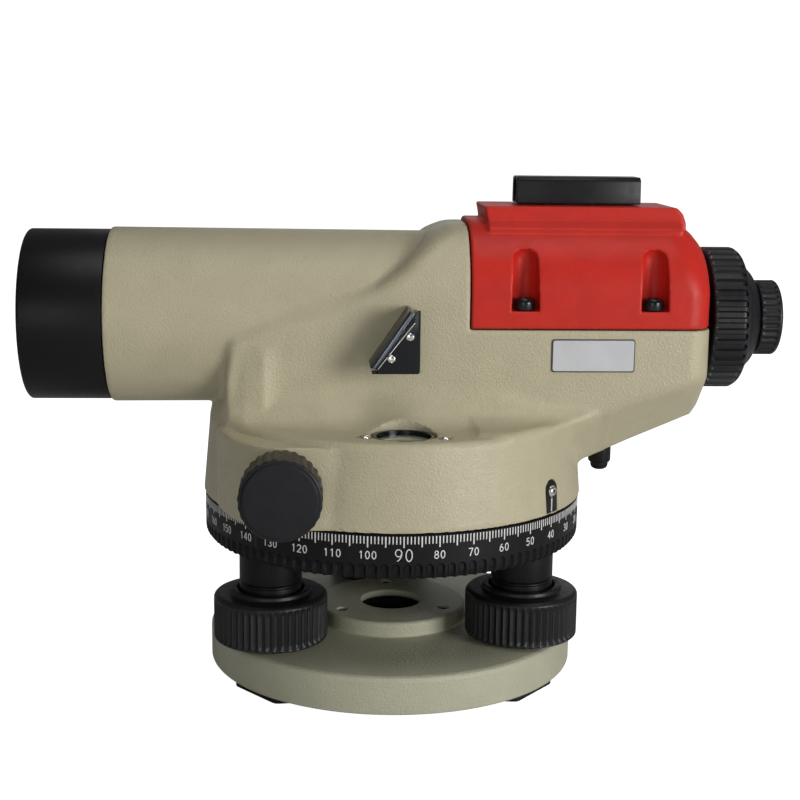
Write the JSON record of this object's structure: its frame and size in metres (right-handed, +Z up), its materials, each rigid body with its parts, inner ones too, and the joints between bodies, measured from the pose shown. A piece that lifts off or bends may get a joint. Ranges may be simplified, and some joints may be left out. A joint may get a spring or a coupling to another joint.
{
  "type": "automatic level",
  "caption": "Surveyor's telescope in a cast body with a red cover and a bubble level, turning on a degree circle over a levelling base with foot screws.",
  "frame": {"origin": "middle of the overall box in plan to within half a millimetre, at the underside of the base's spring plate; the vertical axis is 4.15 mm towards -X from it", "axes": "+Z up along the vertical axis, telescope along X with its objective at -X, drive knobs at -Y and +Y"},
  "size_m": [0.215, 0.132, 0.143],
  "materials": {
    "beige_paint": "stippled enamel",
    "red_paint": "satin enamel",
    "black_anodised": "black anodised",
    "circle_black": "satin black with a white scale",
    "black_plastic": "moulded",
    "ribbed_plastic": "moulded ribs",
    "steel": "turned",
    "brass": "machined",
    "silver": "satin",
    "optical_glass": "coated",
    "vial_glass": "clear over tinted liquid"
  },
  "bodies": {
    "base": {"base_plate": "beige_paint", "spring_plate": "black_anodised", "tripod_thread_bush": "brass", "base_screw_1": "black_anodised", "base_screw_2": "black_anodised", "base_screw_3": "black_anodised"},
    "foot_screw_left": {"foot_knob_left": "ribbed_plastic", "foot_spindle_left": "steel"},
    "foot_screw_right": {"foot_knob_right": "ribbed_plastic", "foot_spindle_right": "steel"},
    "foot_screw_rear": {"foot_knob_rear": "ribbed_plastic", "foot_spindle_rear": "steel"},
    "rear_sleeve": {"rear_foot_sleeve": "black_anodised"},
    "tribrach_body": {"tribrach": "black_anodised", "vertical_spindle": "steel"},
    "circle": {"horizontal_circle": "circle_black"},
    "wheel": {"worm_wheel": "brass"},
    "instrument": {"housing": "beige_paint", "top_cover": "red_paint", "cover_screw_1": "black_anodised", "cover_screw_2": "black_anodised", "cover_screw_3": "black_anodised", "cover_screw_4": "black_anodised", "sight_housing": "black_plastic", "sight_window_front": "optical_glass", "sight_window_rear": "optical_glass", "name_plate": "silver", "circle_index": "black_plastic", "index_screw": "steel", "axis_bush": "brass", "level_cup": "silver", "level_vial": "vial_glass", "level_screw_1": "steel", "level_screw_2": "steel", "prism_cheek": "black_plastic", "viewing_prism": "optical_glass", "prism_plate": "steel", "prism_screw_1": "steel", "prism_screw_2": "steel", "objective_barrel": "black_anodised", "objective_lens_front": "optical_glass", "objective_lens_rear": "optical_glass", "objective_retaining_ring": "black_anodised", "eyepiece_tube": "black_anodised", "reticle": "optical_glass", "compensator_frame": "black_anodised", "damping_magnet": "steel", "button_bush": "black_plastic"},
    "drive": {"drive_shaft": "steel", "drive_knob_front": "ribbed_plastic", "drive_knob_rear": "ribbed_plastic"},
    "focus_ring": {"focusing_ring": "ribbed_plastic"},
    "focus_carriage": {"focusing_cell": "black_anodised", "focusing_lens": "optical_glass"},
    "eyepiece": {"eyepiece_ring": "ribbed_plastic"},
    "eyepiece_optics": {"eyepiece_cell": "black_anodised", "eyepiece_lens": "optical_glass"},
    "pendulum": {"pendulum_arm": "brass", "pendulum_prism": "optical_glass"},
    "button": {"check_button": "black_plastic"}
  },
  "joints": [
    {"name": "foot_screw_left_turn", "type": "hinge", "parent": "base", "child": "foot_screw_left", "pos_m": [-0.03926, -0.02194, 0.02], "axis": [0, 0, 1], "range_deg": [-600, 600]},
    {"name": "foot_screw_right_turn", "type": "hinge", "parent": "base", "child": "foot_screw_right", "pos_m": [0.0324, -0.01944, 0.02], "axis": [0, 0, 1], "range_deg": [-600, 600]},
    {"name": "foot_screw_rear_turn", "type": "hinge", "parent": "base", "child": "foot_screw_rear", "pos_m": [-0.0056, 0.04138, 0.02], "axis": [0, 0, 1], "range_deg": [-780, 780]},
    {"name": "tilt_front_back", "type": "hinge", "parent": "base", "child": "rear_sleeve", "pos_m": [-0.00343, -0.02069, 0.024], "axis": [0.9994, 0.0349, 0], "range_deg": [-1.5, 1.5]},
    {"name": "tilt_left_right", "type": "hinge", "parent": "rear_sleeve", "child": "tribrach_body", "pos_m": [-0.00415, 0, 0.024], "axis": [-0.0349, 0.9994, 0], "range_deg": [-2, 2]},
    {"name": "circle_turn", "type": "hinge", "parent": "tribrach_body", "child": "circle", "pos_m": [-0.00415, 0, 0.046], "axis": [0, 0, 1], "continuous": true},
    {"name": "coarse_turn", "type": "hinge", "parent": "tribrach_body", "child": "wheel", "pos_m": [-0.00415, 0, 0.064], "axis": [0, 0, 1], "continuous": true},
    {"name": "fine_turn", "type": "hinge", "parent": "wheel", "child": "instrument", "pos_m": [-0.00415, 0, 0.064], "axis": [0, 0, 1], "continuous": true},
    {"name": "drive_shaft_turn", "type": "hinge", "parent": "instrument", "child": "drive", "pos_m": [-0.03525, 0, 0.064], "axis": [0, 1, 0], "continuous": true},
    {"name": "focusing_ring_turn", "type": "hinge", "parent": "instrument", "child": "focus_ring", "pos_m": [0.089, 0, 0.1027], "axis": [1, 0, 0], "range_deg": [-180, 180]},
    {"name": "focusing_slide", "type": "slide", "parent": "instrument", "child": "focus_carriage", "axis": [1, 0, 0], "range_m": [-0.006, 0.006]},
    {"name": "eyepiece_turn", "type": "hinge", "parent": "instrument", "child": "eyepiece", "pos_m": [0.104, 0, 0.1027], "axis": [1, 0, 0], "range_deg": [-270, 270]},
    {"name": "eyepiece_slide", "type": "slide", "parent": "instrument", "child": "eyepiece_optics", "axis": [1, 0, 0], "range_m": [-0.001, 0.001]},
    {"name": "pendulum_swing", "type": "hinge", "parent": "instrument", "child": "pendulum", "pos_m": [0.04585, 0, 0.113], "axis": [0, 1, 0], "range_deg": [-1, 1]},
    {"name": "check_button_press", "type": "slide", "parent": "instrument", "child": "button", "axis": [0, 0, 1], "range_m": [0, 0.0018], "stiffness_N_per_m": 300}
  ],
  "couplings": [
    {"joint": "foot_screw_right_turn", "follows": "foot_screw_left_turn", "ratio": -1},
    {"joint": "tilt_left_right", "follows": "foot_screw_left_turn", "ratio": -0.003329},
    {"joint": "tilt_front_back", "follows": "foot_screw_rear_turn", "ratio": -0.001922},
    {"joint": "drive_shaft_turn", "follows": "fine_turn", "ratio": -66},
    {"joint": "focusing_slide", "follows": "focusing_ring_turn", "m_per_rad": 0.0019098},
    {"joint": "eyepiece_slide", "follows": "eyepiece_turn", "m_per_rad": 0.0002122}
  ]
}
